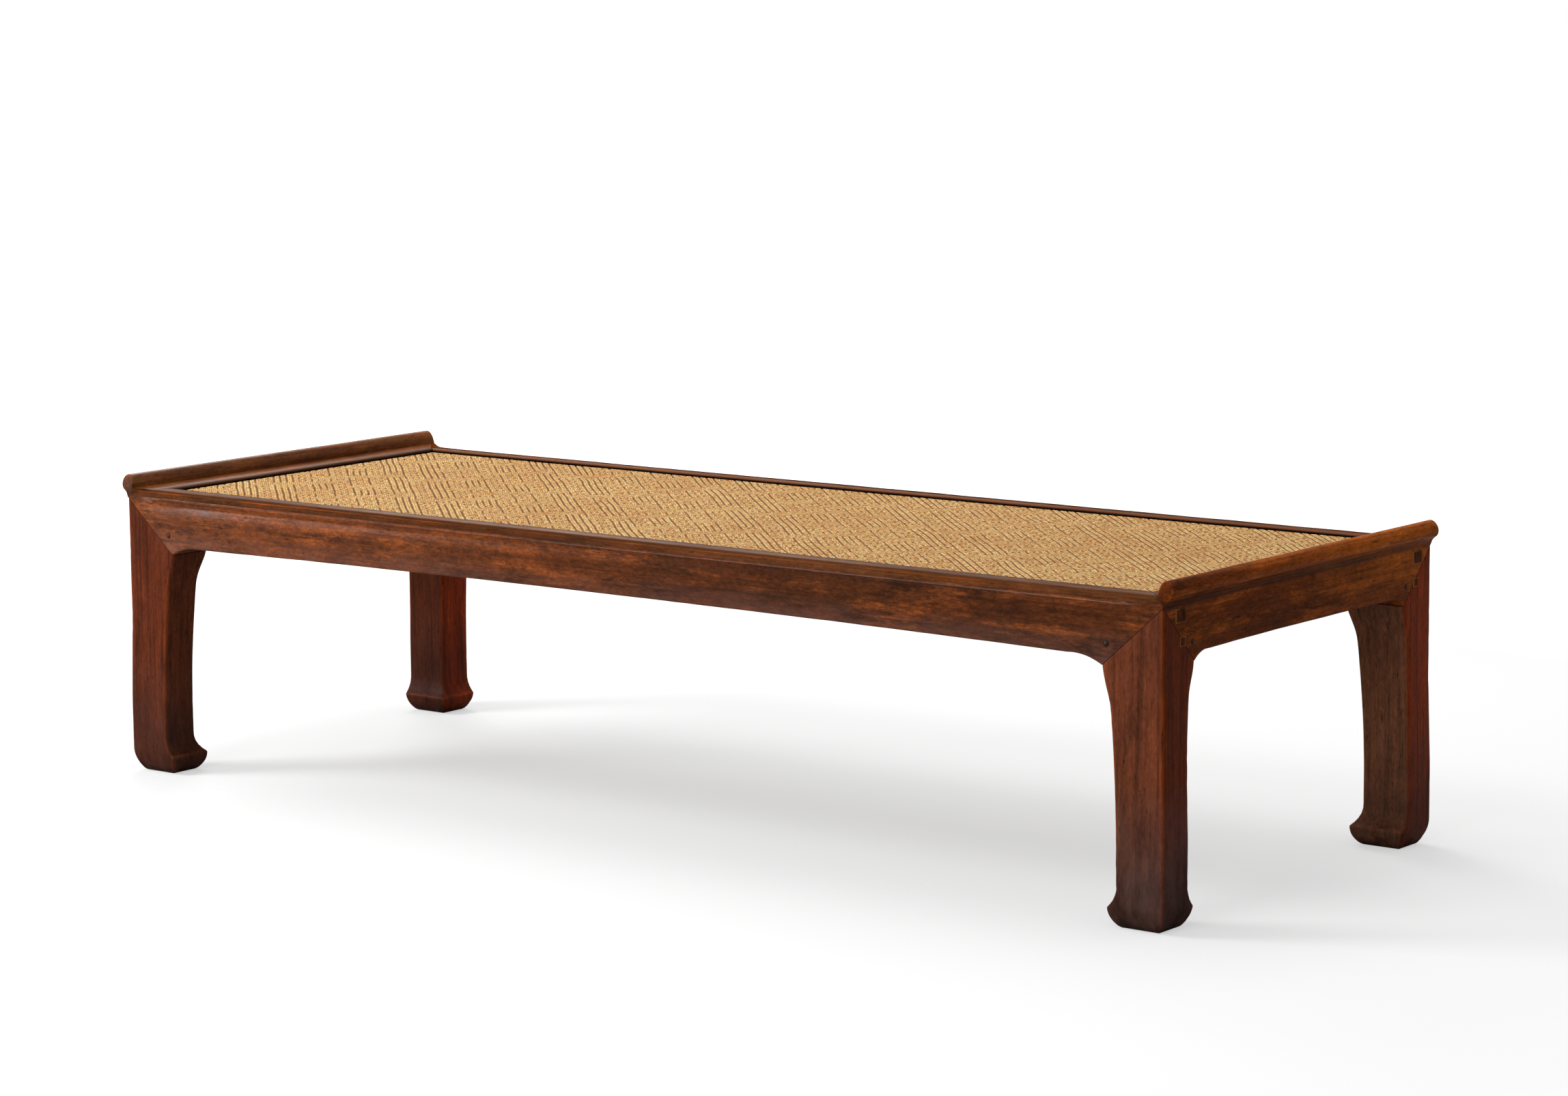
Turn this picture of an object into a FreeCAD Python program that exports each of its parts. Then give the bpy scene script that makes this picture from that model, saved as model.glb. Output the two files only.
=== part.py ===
"""Low daybed with a woven cane seat, four hoof feet and a raised lip along each short end.

X runs along the long side, Y from the front to the back and Z up. The origin is on the floor,
under the middle of the bed. A corner is drawn with u, the distance in from the end face, and
v, the distance in from the long face, at the corner where X and Y are both positive.
"""
import FreeCAD, Part
import os

Vector = FreeCAD.Vector

# Overall sizes, in millimetres
hoof_length = 2000.0
hoof_width = 733.0
seat_height = 458.5
face_inset = 3.0
overrun = 20.0

# Top of the frame, as heights above or depths below the seat
mitre_depth = 7.5
arris_depth = 0.5
arris_in = 4.0
shoulder_height = 3.0
strip_height = 5.5

# Cross section that the four rails share
rail_width = 86.0
strip_offset = 30.0
strip_width = 20.0
mat_thickness = 2.5
webbing_seat = 12.0
webbing_thickness = 4.0

# Undersides of the rails, from the foot of each mitre to the middle of the rail
long_foot_u = 99.4
long_foot_depth = 87.4
long_curve_length = 57.6
long_curve_rise = 12.9
long_arch_rise = 6.0
end_foot_v = 79.5
end_foot_depth = 83.0
end_curve_length = 36.5
end_curve_rise = 12.5
end_arch_rise = 1.5

# Raised lip along each short end
lip_foot_height = 7.5
lip_height = 22.0
lip_overhang = 14.5
lip_thickness = 24.0
lip_corner_round = 9.0
rise_length = 50.0

# Legs, with their thicknesses measured from the outer faces of the hooves
leg_x = 78.0
leg_y = 65.0
straight_low_z = 80.0
straight_high_x_z = 120.0
straight_high_y_z = 170.0
neck_x_depth = 47.6
neck_x_grow = 12.0
neck_y_depth = 38.0
neck_y_grow = 5.5
toe_flare = 15.0
toe_z = 22.0
toe_undercut = 9.0
hoof_round_z = 38.0
hoof_tuck = 14.0
face_taper_low_z = 120.0
face_taper_length = 140.0

# Tenons and pegs of the corner joints, with their depths below the top of the mitre
tenon_width = 27.0
tenon_height = 20.0
tenon_depth = 25.0
front_tenon_v = 30.0
back_tenon_v = 25.5
small_tenon_width = 15.0
small_tenon_height = 14.0
small_tenon_depth = 58.5
small_tenon_step = 11.5
leg_tenon_u = 66.0
leg_tenon_length = 31.0
leg_tenon_v = 20.0
leg_tenon_thickness = 22.0
leg_tenon_cover = 11.0
side_tenon_u = 14.0
side_tenon_v = 61.0
side_tenon_length = 19.0
side_tenon_cover = 23.0
peg_radius = 3.6
peg_bite = 16.0
long_peg_u = 92.0
long_peg_depth = 56.0
end_peg_v = 73.0
end_peg_depth = 55.0

# Cross stretchers under the seat
stretcher_count = 3
stretcher_pitch = 500.0
stretcher_width = 45.0
stretcher_depth = 34.0
stretcher_gap = 5.0
stretcher_sag = 18.0
stretcher_tenon = 22.0
stretcher_tenon_width = 26.0
stretcher_shoulder = 6.0

# Bamboo pins that hold the edge strips, and the play round the mat
pin_radius = 1.5
pin_length = 16.0
pin_pitch = 146.0
seat_play = 0.5

# Derived places
end_face = hoof_length / 2 - face_inset
long_face = hoof_width / 2 - face_inset
mat_top_z = seat_height
mitre_top_z = mat_top_z - mitre_depth
arris_z = mat_top_z - arris_depth
shoulder_z = mat_top_z + shoulder_height
strip_top_z = mat_top_z + strip_height
lip_foot_z = mat_top_z + lip_foot_height
lip_top_z = lip_foot_z + lip_height
ledge_z = mat_top_z - mat_thickness
webbing_low_z = ledge_z - webbing_thickness
long_foot_z = mitre_top_z - long_foot_depth
end_foot_z = mitre_top_z - end_foot_depth
tenon_low_z = mitre_top_z - tenon_depth
small_tenon_low_z = mitre_top_z - small_tenon_depth
leg_tenon_top_z = mitre_top_z - leg_tenon_cover
side_tenon_top_z = mitre_top_z - side_tenon_cover
long_peg_z = mitre_top_z - long_peg_depth
end_peg_z = mitre_top_z - end_peg_depth
webbing_offset = rail_width - webbing_seat
strip_inner = strip_offset + strip_width
lip_inner = lip_thickness - lip_overhang
head_z = lip_top_z + overrun
low_z = long_foot_z - overrun
inner_y = long_face - rail_width
long_slope = long_foot_depth / long_foot_u
end_slope = end_foot_depth / end_foot_v

# Middle points of the arcs, as shares of the box that each arc spans
arris_shares = (0.27, 0.58)
spandrel_shares = (0.30, 0.60)
lip_cove_shares = (0.40, 0.57)
lip_cove_end_shares = (0.76, 0.35)
lip_bulge_share = 0.60
lip_crown_start_shares = (0.76, 0.87)
lip_crown_share = 0.22
lip_crown_end_shares = (0.52, 0.86)
lip_inner_shares = (0.93, 0.55)
rise_shares = (0.30, 0.40)
neck_share = 0.53
neck_grow_share = 0.38
shoulder_shares = (0.52, 0.63)
toe_top_shares = (0.40, 0.62)
toe_under_shares = (0.28, 0.60)
tuck_shares = (0.74, 0.47)
strip_outer_share = 0.55
strip_crown_shares = (0.48, 0.95)
strip_crown_end_shares = (0.85, 0.98)
strip_edge_shares = (0.97, 0.80)
strip_drop_share = 0.42


def place(plane, a, b, c):
    """A point of a plane's outline, with c the distance along the plane's normal."""
    if plane == "xz":
        return Vector(a, c, b)
    if plane == "yz":
        return Vector(c, a, b)
    return Vector(a, b, c)


def prism(plane, outline, low, high):
    """Solid between two distances. A step of one point is a line, and of two points an arc."""
    start = outline[0]
    here = start
    edges = []
    for step in outline[1:] + [start]:
        if isinstance(step[0], tuple):
            via, end = step
            points = [place(plane, p[0], p[1], low) for p in (here, via, end)]
            edges.append(Part.Arc(*points).toShape())
        else:
            end = step
            points = [place(plane, p[0], p[1], low) for p in (here, end)]
            edges.append(Part.LineSegment(*points).toShape())
        here = end
    face = Part.Face(Part.Wire(edges))
    return face.extrude(place(plane, 0, 0, high) - place(plane, 0, 0, low))


def block(low, high):
    """Box between two opposite corners."""
    size = [high[k] - low[k] for k in range(3)]
    return Part.makeBox(size[0], size[1], size[2], Vector(*low))


def between(start, end, shares):
    """Point at the given shares of the way from start to end, along each axis."""
    return (start[0] + (end[0] - start[0]) * shares[0], start[1] + (end[1] - start[1]) * shares[1])


def corner_block(u_span, v_span, z_span):
    """Box given in corner distances, at the corner where X and Y are positive."""
    low = (end_face - u_span[1], long_face - v_span[1], z_span[0])
    high = (end_face - u_span[0], long_face - v_span[0], z_span[1])
    return block(low, high)


def mirrored(shape, x_side, y_side):
    """The shape moved from the corner with X and Y positive to another corner."""
    if x_side < 0:
        shape = shape.mirror(Vector(0, 0, 0), Vector(1, 0, 0))
    if y_side < 0:
        shape = shape.mirror(Vector(0, 0, 0), Vector(0, 1, 0))
    return shape


def mitre_wedge(nearer):
    """Everything at the corner that lies nearer the end face, or nearer the long face."""
    outside = -overrun
    inside = long_foot_u + overrun
    tip = (end_face - outside, long_face - outside)
    root = (end_face - inside, long_face - inside)
    if nearer == "end":
        side = (end_face - outside, long_face - inside)
    else:
        side = (end_face - inside, long_face - outside)
    return prism("xy", [tip, root, side], low_z - overrun, head_z)


def above_long_mitre():
    """Space over the sloping shoulder that the long rail sits on."""
    outline = [
        (end_face + overrun, mitre_top_z + long_slope * overrun),
        (end_face - long_foot_u - overrun, long_foot_z - long_slope * overrun),
        (end_face - long_foot_u - overrun, head_z),
        (end_face + overrun, head_z),
    ]
    return prism("xz", outline, long_face - long_foot_u, long_face + overrun)


def above_end_mitre():
    """Space over the sloping shoulder that the end rail sits on."""
    outline = [
        (long_face + overrun, mitre_top_z + end_slope * overrun),
        (long_face - end_foot_v - overrun, end_foot_z - end_slope * overrun),
        (long_face - end_foot_v - overrun, head_z),
        (long_face + overrun, head_z),
    ]
    return prism("yz", outline, end_face - long_foot_u - overrun, end_face + overrun)


def leg_outline(hoof, face, thickness, straight_z, neck_depth, neck_grow, foot, foot_z):
    """Side view of a leg: its outer line up from the floor, then its inner line down again."""
    inner = hoof - thickness
    tuck = (hoof - hoof_tuck, 0)
    round_end = (hoof, hoof_round_z)
    neck = (inner - neck_grow, foot_z - neck_depth)
    shoulder = (face - foot, foot_z)
    straight = (inner, straight_z)
    toe_end = (inner, straight_low_z)
    toe = (inner - toe_flare, toe_z)
    sole = (inner - toe_flare + toe_undercut, 0)
    return [
        tuck,
        (between(tuck, round_end, tuck_shares), round_end),
        (hoof, face_taper_low_z),
        (face, face_taper_low_z + face_taper_length),
        (face, mitre_top_z),
        (face - foot, mitre_top_z),
        shoulder,
        (between(shoulder, neck, shoulder_shares), neck),
        (between(straight, neck, (neck_grow_share, neck_share)), straight),
        toe_end,
        (between(toe_end, toe, toe_top_shares), toe),
        (between(toe, sole, toe_under_shares), sole),
    ]


def leg_post():
    """Leg with its hoof, square in section at every height, before its head is cut."""
    neck_x, foot_x = (neck_x_depth, neck_x_grow), (long_foot_u, long_foot_z)
    neck_y, foot_y = (neck_y_depth, neck_y_grow), (end_foot_v, end_foot_z)
    along_x = leg_outline(hoof_length / 2, end_face, leg_x, straight_high_x_z, *neck_x, *foot_x)
    along_y = leg_outline(hoof_width / 2, long_face, leg_y, straight_high_y_z, *neck_y, *foot_y)
    reach = long_foot_u + overrun
    side = prism("xz", along_x, hoof_width / 2 - reach, hoof_width / 2 + overrun)
    end = prism("yz", along_y, hoof_length / 2 - reach, hoof_length / 2 + overrun)
    return side.common(end)


def leg_tenons():
    """The two tenons on a leg's head: one up into the long rail, one up into the end rail."""
    into_long = corner_block(
        (leg_tenon_u, leg_tenon_u + leg_tenon_length),
        (leg_tenon_v, leg_tenon_v + leg_tenon_thickness),
        (long_foot_z, leg_tenon_top_z),
    )
    into_end = corner_block(
        (side_tenon_u, side_tenon_u + leg_tenon_thickness),
        (side_tenon_v, side_tenon_v + side_tenon_length),
        (end_foot_z, side_tenon_top_z),
    )
    return into_long.fuse(into_end)


def rail_tenons(tenon_v):
    """The long rail's tenons, which pass through the end rail and show on its outer face."""
    main = corner_block(
        (0, tenon_v + tenon_width + webbing_seat),
        (tenon_v, tenon_v + tenon_width),
        (tenon_low_z, tenon_low_z + tenon_height),
    )
    small_v = tenon_v + small_tenon_step
    small = corner_block(
        (0, leg_tenon_u),
        (small_v, small_v + small_tenon_width),
        (small_tenon_low_z, small_tenon_low_z + small_tenon_height),
    )
    return main.fuse(small.common(above_end_mitre()))


def long_peg():
    """Round peg from the long face into the leg's tenon."""
    length = leg_tenon_v + peg_bite
    base = Vector(end_face - long_peg_u, long_face, long_peg_z)
    return Part.makeCylinder(peg_radius, length, base, Vector(0, -1, 0))


def end_peg():
    """Round peg from the end face into the leg's other tenon."""
    length = side_tenon_u + peg_bite
    base = Vector(end_face, long_face - end_peg_v, end_peg_z)
    return Part.makeCylinder(peg_radius, length, base, Vector(-1, 0, 0))


def leg(tenon_v):
    """Leg with mitred shoulders on both faces, its two tenons, and the holes for its pegs."""
    shape = leg_post()
    shape = shape.cut(above_long_mitre().common(mitre_wedge("long")))
    shape = shape.cut(above_end_mitre().common(mitre_wedge("end")))
    shape = shape.fuse(leg_tenons()).removeSplitter()
    return shape.cut(rail_tenons(tenon_v)).cut(long_peg()).cut(end_peg())


def seat_step(face):
    """Inner half of a rail's section: the ledge for the mat and the lower one for the webbing."""
    return [
        (face - strip_offset, ledge_z),
        (face - webbing_offset, ledge_z),
        (face - webbing_offset, webbing_low_z),
        (face - rail_width, webbing_low_z),
        (face - rail_width, low_z),
    ]


def long_section():
    """Section of a long rail, seen along X."""
    arris_low = (long_face, mitre_top_z)
    arris = (long_face - arris_in, arris_z)
    return [
        (long_face, low_z),
        arris_low,
        (between(arris_low, arris, arris_shares), arris),
        (long_face - strip_offset, shoulder_z),
    ] + seat_step(long_face)


def end_section():
    """Section of an end rail below its lip, seen along Y."""
    return [
        (end_face, low_z),
        (end_face, mitre_top_z),
        (end_face - lip_inner, lip_foot_z),
        (end_face - strip_offset, shoulder_z),
    ] + seat_step(end_face)


def lip_section():
    """Section of the lip: a cove below, a bulge that overhangs the end face, a round crown."""
    rise = lip_top_z - mitre_top_z
    tip = (end_face, mitre_top_z)
    cove_end = (end_face + lip_overhang * lip_cove_end_shares[0], mitre_top_z + rise * lip_cove_end_shares[1])
    crown_start = (
        end_face + lip_overhang * lip_crown_start_shares[0],
        mitre_top_z + rise * lip_crown_start_shares[1],
    )
    crown_end = (end_face - lip_inner * lip_crown_end_shares[0], lip_foot_z)
    crown_end = (crown_end[0], lip_foot_z + (lip_top_z - lip_foot_z) * lip_crown_end_shares[1])
    foot = (end_face - lip_inner, lip_foot_z)
    return [
        tip,
        (between(tip, cove_end, lip_cove_shares), cove_end),
        ((end_face + lip_overhang, mitre_top_z + rise * lip_bulge_share), crown_start),
        ((end_face + lip_overhang * lip_crown_share, lip_top_z), crown_end),
        (between(foot, crown_end, (1 - lip_inner_shares[0], lip_inner_shares[1])), foot),
    ]


def lip():
    """Raised lip along the whole of an end rail, with its two upper corners rounded."""
    bar = prism("xz", lip_section(), -long_face, long_face)
    soft = 1 - 2 ** -0.5
    corner = lip_corner_round
    outline = [(-long_face, mitre_top_z - overrun), (-long_face, lip_top_z - corner)]
    via = (-long_face + corner * soft, lip_top_z - corner * soft)
    outline.append((via, (-long_face + corner, lip_top_z)))
    outline.append((long_face - corner, lip_top_z))
    via = (long_face - corner * soft, lip_top_z - corner * soft)
    outline.append((via, (long_face, lip_top_z - corner)))
    outline.append((long_face, mitre_top_z - overrun))
    reach = lip_thickness + overrun
    return bar.common(prism("yz", outline, end_face - reach, end_face + reach))


def rail_elevation(face, foot, foot_z, curve_length, curve_rise, arch_rise):
    """Face view of a rail: its mitred ends and the long low arch of its underside."""
    toe = (face - foot, foot_z)
    bend = (toe[0] - curve_length, foot_z + curve_rise)
    via = between(toe, bend, spandrel_shares)
    return [
        (-face, mitre_top_z),
        (-toe[0], toe[1]),
        ((-via[0], via[1]), (-bend[0], bend[1])),
        ((0, bend[1] + arch_rise), bend),
        (via, toe),
        (face, mitre_top_z),
        (face, head_z),
        (-face, head_z),
    ]


def shoulder_rise():
    """The sweep by which a long rail's shoulder climbs to the foot of the lip."""
    foot = (end_face - lip_inner, lip_foot_z)
    end = (end_face - lip_inner - rise_length, arris_z)
    outline = [
        (end_face, mitre_top_z),
        foot,
        (between(foot, end, rise_shares), end),
        (end[0], mitre_top_z),
    ]
    return prism("xz", outline, long_face - strip_offset, long_face - arris_in)


def long_rail(tenon_v):
    """Rail along the back, with its through tenons; the front one is its mirror image."""
    outline = rail_elevation(
        end_face, long_foot_u, long_foot_z, long_curve_length, long_curve_rise, long_arch_rise
    )
    shape = prism("yz", long_section(), -end_face, end_face)
    shape = shape.common(prism("xz", outline, inner_y - overrun, long_face + overrun))
    for x_side in (1, -1):
        shape = shape.fuse(mirrored(shoulder_rise(), x_side, 1))
    shape = shape.removeSplitter()
    for x_side in (1, -1):
        shape = shape.cut(mirrored(mitre_wedge("end"), x_side, 1))
        shape = shape.cut(mirrored(prism("xz", lip_section(), inner_y, long_face), x_side, 1))
        shape = shape.fuse(mirrored(rail_tenons(tenon_v), x_side, 1))
        shape = shape.cut(mirrored(leg_tenons(), x_side, 1))
        shape = shape.cut(mirrored(long_peg(), x_side, 1))
    for x in stretcher_places():
        shape = shape.cut(stretcher_bar(x))
    return shape.cut(strip_pins_long())


def end_rail():
    """Rail across the right end, with the lip; the left one is its mirror image."""
    curve = (end_curve_length, end_curve_rise, end_arch_rise)
    outline = rail_elevation(long_face, end_foot_v, end_foot_z, *curve)
    shape = prism("xz", end_section(), -long_face, long_face)
    shape = shape.common(prism("yz", outline, end_face - rail_width - overrun, end_face + overrun))
    for y_side, tenon_v in ((1, back_tenon_v), (-1, front_tenon_v)):
        shape = shape.cut(mirrored(mitre_wedge("long"), 1, y_side))
        shape = shape.cut(mirrored(rail_tenons(tenon_v), 1, y_side))
        shape = shape.cut(mirrored(leg_tenons(), 1, y_side))
        shape = shape.cut(mirrored(end_peg(), 1, y_side))
    return shape.fuse(lip()).removeSplitter().cut(strip_pins_end())


def stretcher_places():
    """X of each cross stretcher, evenly spaced about the middle."""
    first = -stretcher_pitch * (stretcher_count - 1) / 2
    return [first + stretcher_pitch * k for k in range(stretcher_count)]


def stretcher_bar(x):
    """Cross stretcher that dips in the middle, so that the seat can give without touching it."""
    top = webbing_low_z - stretcher_gap
    low = top - stretcher_depth
    arch = [
        (-inner_y, low),
        ((0, low - stretcher_sag), (inner_y, low)),
        (inner_y, top),
        ((0, top - stretcher_sag), (-inner_y, top)),
    ]
    bar = prism("yz", arch, x - stretcher_width / 2, x + stretcher_width / 2)
    reach = inner_y + stretcher_tenon
    half = stretcher_tenon_width / 2
    ends = block((x - half, -reach, low + stretcher_shoulder), (x + half, reach, top - stretcher_shoulder))
    middle = block((x - half, -inner_y, low - stretcher_sag), (x + half, inner_y, top))
    return bar.fuse(ends.cut(middle)).removeSplitter()


def strip_section(face):
    """Section of an edge strip: low at its outer edge, crowned, and round at its inner edge."""
    height = strip_top_z - mat_top_z
    outer = face - strip_offset

    def at(width_share, height_share):
        return (outer - strip_width * width_share, mat_top_z + height * height_share)

    return [
        at(0, 0),
        at(0, strip_outer_share),
        (at(*strip_crown_shares), at(*strip_crown_end_shares)),
        (at(*strip_edge_shares), at(1, strip_drop_share)),
        at(1, 0),
    ]


def strip_long():
    """Strip that holds the mat's edge along the back."""
    shape = prism("yz", strip_section(long_face), -end_face, end_face)
    for x_side in (1, -1):
        shape = shape.cut(mirrored(mitre_wedge("end"), x_side, 1))
    return shape.cut(strip_pins_long())


def strip_end():
    """Strip that holds the mat's edge along the right end."""
    shape = prism("xz", strip_section(end_face), -long_face, long_face)
    for y_side in (1, -1):
        shape = shape.cut(mirrored(mitre_wedge("long"), 1, y_side))
    return shape.cut(strip_pins_end())


def pin_places(half_span):
    """Evenly spaced places for pins along a strip, as near to the pitch as fits."""
    gaps = max(1, round(2 * half_span / pin_pitch))
    return [-half_span + 2 * half_span * k / gaps for k in range(gaps + 1)]


def pin(x, y):
    """Pin driven down through the strip and the mat into the rail."""
    top = strip_top_z - (strip_top_z - mat_top_z) * (1 - strip_crown_shares[1])
    return Part.makeCylinder(pin_radius, pin_length, Vector(x, y, top - pin_length))


def strip_pins_long():
    """Pins of the strip along the back."""
    inset = strip_inner + strip_width
    y = long_face - strip_offset - strip_width / 2
    return Part.makeCompound([pin(x, y) for x in pin_places(end_face - inset)])


def strip_pins_end():
    """Pins of the strip along the right end."""
    inset = strip_inner + strip_width
    x = end_face - strip_offset - strip_width / 2
    return Part.makeCompound([pin(x, y) for y in pin_places(long_face - inset)])


def panel(offset, low, high):
    """Flat sheet that fills the frame up to the given distance from the outer faces."""
    x = end_face - offset - seat_play
    y = long_face - offset - seat_play
    return block((-x, -y, low), (x, y, high))


def cane_mat():
    """Woven cane mat, with its edges under the four strips."""
    shape = panel(strip_offset, ledge_z, mat_top_z)
    for side in (1, -1):
        shape = shape.cut(mirrored(strip_pins_long(), 1, side))
        shape = shape.cut(mirrored(strip_pins_end(), side, 1))
    return shape


def export(name, shape):
    """Write one node's STEP file."""
    shape.exportStep("parts/" + name + ".step")


def main():
    """Make every node."""
    os.makedirs("parts", exist_ok=True)
    for y_name, y_side, tenon_v in (("back", 1, back_tenon_v), ("front", -1, front_tenon_v)):
        corner = leg(tenon_v)
        for x_name, x_side in (("right", 1), ("left", -1)):
            export("leg_" + y_name + "_" + x_name, mirrored(corner, x_side, y_side))
        export("long_rail_" + y_name, mirrored(long_rail(tenon_v), 1, y_side))
        export("mat_strip_" + y_name, mirrored(strip_long(), 1, y_side))
        export("strip_pins_" + y_name, mirrored(strip_pins_long(), 1, y_side))
        pegs = [mirrored(long_peg(), x_side, y_side) for x_side in (1, -1)]
        export("corner_pegs_" + y_name, Part.makeCompound(pegs))
    for x_name, x_side in (("right", 1), ("left", -1)):
        export("end_rail_" + x_name, mirrored(end_rail(), x_side, 1))
        export("mat_strip_" + x_name, mirrored(strip_end(), x_side, 1))
        export("strip_pins_" + x_name, mirrored(strip_pins_end(), x_side, 1))
        pegs = [mirrored(end_peg(), x_side, y_side) for y_side in (1, -1)]
        export("corner_pegs_" + x_name, Part.makeCompound(pegs))
    for number, x in enumerate(stretcher_places(), 1):
        export("cross_stretcher_" + str(number), stretcher_bar(x))
    export("palm_webbing", panel(webbing_offset, webbing_low_z, ledge_z))
    export("cane_mat", cane_mat())


main()
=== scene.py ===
"""Looks of the low daybed: worn brown lacquer, a woven cane seat and the palm cord net below it.

Lengths are in millimetres and are turned into metres where a mesh is made. Near a corner, u is the
distance in from the end face and v the distance in from the long face.
"""
import math

import bmesh
import bpy
import numpy as np
from mathutils import Matrix, Vector


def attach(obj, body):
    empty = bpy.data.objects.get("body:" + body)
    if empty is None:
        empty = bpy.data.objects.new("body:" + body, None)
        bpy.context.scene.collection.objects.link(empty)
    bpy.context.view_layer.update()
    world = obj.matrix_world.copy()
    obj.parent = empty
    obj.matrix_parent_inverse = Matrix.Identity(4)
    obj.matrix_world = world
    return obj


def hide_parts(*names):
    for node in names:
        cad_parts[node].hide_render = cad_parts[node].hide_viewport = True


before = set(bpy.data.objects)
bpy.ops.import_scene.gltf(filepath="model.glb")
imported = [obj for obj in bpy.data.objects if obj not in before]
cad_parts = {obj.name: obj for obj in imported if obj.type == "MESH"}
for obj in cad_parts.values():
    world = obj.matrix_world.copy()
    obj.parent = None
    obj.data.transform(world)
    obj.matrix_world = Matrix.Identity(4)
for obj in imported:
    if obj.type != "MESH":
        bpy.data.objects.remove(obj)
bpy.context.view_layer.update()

# Sizes shared with the construction, in millimetres
MM = 0.001
hoof_x = 1000.0
hoof_y = 366.5
end_face = 997.0
long_face = 363.5
seat_z = 458.5
mitre_z = seat_z - 7.5
arris_z = seat_z + 2.0
shoulder_z = seat_z + 3.0
strip_z = seat_z + 5.5
lip_foot_z = seat_z + 7.5
lip_top_z = lip_foot_z + 22.0
lip_out = 14.5
lip_in = 9.5
lip_slant = 4.0
ledge_z = seat_z - 2.5
webbing_z = ledge_z - 4.0
rail_width = 86.0
arris_in = 4.0
strip_in = 30.0
strip_width = 20.0
webbing_in = 74.0
long_foot = (99.4, 363.6)
long_bend = (157.0, 376.5)
long_arch = 6.0
end_foot = (79.5, 368.0)
end_bend = (116.0, 380.5)
end_arch = 1.5
rise_length = 13.0
long_slope = (mitre_z - long_foot[1]) / long_foot[0]
end_slope = (mitre_z - end_foot[1]) / end_foot[0]
leg_x = 78.0
leg_y = 65.0
toe_z = 29.0
ridge_z = 29.4
stretcher_z = 430.0
stretcher_dip = 18.0
peg_x = 905.0
peg_y = 290.5

# Softness of the joints and edges
joint_soft = 0.35
cap_soft = 2.6
joint_gap = 0.15
face_roll = 3.2

# Pitch and origin of the weave, how far it goes under the strips, and the net's cords
pitch_x = 2.495
pitch_y = 2.41
weave_x = -47.0
weave_y = 13.5
tucked = 3
cord_radius = 1.05


# Numbers
def smooth(t):
    """Ease from 0 to 1."""
    t = np.clip(t, 0.0, 1.0)
    return t * t * (3 - 2 * t)


def hashed(i, j, seed):
    """A repeatable random number from 0 to 1 for each pair of whole numbers."""
    n = (np.asarray(i) * 374761393 + np.asarray(j) * 668265263 + seed * 974634777) & 0xFFFFFFFF
    n = ((n ^ (n >> 13)) * 1274126177) & 0xFFFFFFFF
    return ((n ^ (n >> 16)) & 0xFFFF) / 65535.0


def rough(x, y, size, seed):
    """Smooth noise from -1 to 1 with features of about the given size, in two octaves."""
    total = 0.0
    for octave, share in ((1.0, 0.7), (2.3, 0.3)):
        a, b = np.asarray(x) * octave / size, np.asarray(y) * octave / size
        i, j = np.floor(a).astype(np.int64), np.floor(b).astype(np.int64)
        s, t = smooth(a - i), smooth(b - j)
        low = hashed(i, j, seed) * (1 - s) + hashed(i + 1, j, seed) * s
        high = hashed(i, j + 1, seed) * (1 - s) + hashed(i + 1, j + 1, seed) * s
        total = total + share * (2 * (low * (1 - t) + high * t) - 1)
        seed += 11
    return total


def arc(start, via, end, count):
    """Points along the circular arc from start through via to end, without the start."""
    (ax, ay), (bx, by), (cx, cy) = start, via, end
    d = 2 * (ax * (by - cy) + bx * (cy - ay) + cx * (ay - by))
    a2, b2, c2 = ax * ax + ay * ay, bx * bx + by * by, cx * cx + cy * cy
    ox = (a2 * (by - cy) + b2 * (cy - ay) + c2 * (ay - by)) / d
    oy = (a2 * (cx - bx) + b2 * (ax - cx) + c2 * (bx - ax)) / d
    radius = math.hypot(ax - ox, ay - oy)
    first = math.atan2(ay - oy, ax - ox)
    middle = (math.atan2(by - oy, bx - ox) - first) % (2 * math.pi)
    turn = (math.atan2(cy - oy, cx - ox) - first) % (2 * math.pi)
    if middle > turn:
        turn -= 2 * math.pi
    angles = [first + turn * (k + 1) / count for k in range(count)]
    return [(ox + radius * math.cos(a), oy + radius * math.sin(a)) for a in angles]


def between(start, end, shares):
    """Point at the given shares of the way from start to end, along each axis."""
    return (start[0] + (end[0] - start[0]) * shares[0], start[1] + (end[1] - start[1]) * shares[1])


# Meshes
def new_object(name, data):
    """Object put in the scene."""
    item = bpy.data.objects.new(name, data)
    bpy.context.scene.collection.objects.link(item)
    return item


def mesh_object(name, points, faces, **values):
    """Object from points in millimetres, with named values kept on its points."""
    mesh = bpy.data.meshes.new(name)
    mesh.from_pydata((np.asarray(points, float) * MM).tolist(), [], faces)
    for key, numbers in values.items():
        layer = mesh.attributes.new(key, "FLOAT", "POINT")
        layer.data.foreach_set("value", np.asarray(numbers, np.float32).ravel())
    bm = bmesh.new()
    bm.from_mesh(mesh)
    bmesh.ops.recalc_face_normals(bm, faces=bm.faces)
    bm.to_mesh(mesh)
    bm.free()
    mesh.polygons.foreach_set("use_smooth", [True] * len(mesh.polygons))
    return new_object(name, mesh)


def tube_faces(rings, size, caps=True):
    """Faces of a tube through rings of points, each with the same count."""
    faces = []
    last = (rings - 1) * size
    for low in range(0, last, size):
        high = low + size
        faces += [(low + j, low + (j + 1) % size, high + (j + 1) % size, high + j) for j in range(size)]
    if caps:
        faces += [tuple(range(size - 1, -1, -1)), tuple(range(last, last + size))]
    return faces


def crease(item, degrees):
    """Shade edges sharper than the angle as creases."""
    bpy.context.view_layer.objects.active = item
    item.select_set(True)
    bpy.ops.object.shade_smooth_by_angle(angle=math.radians(degrees))
    item.select_set(False)


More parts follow.
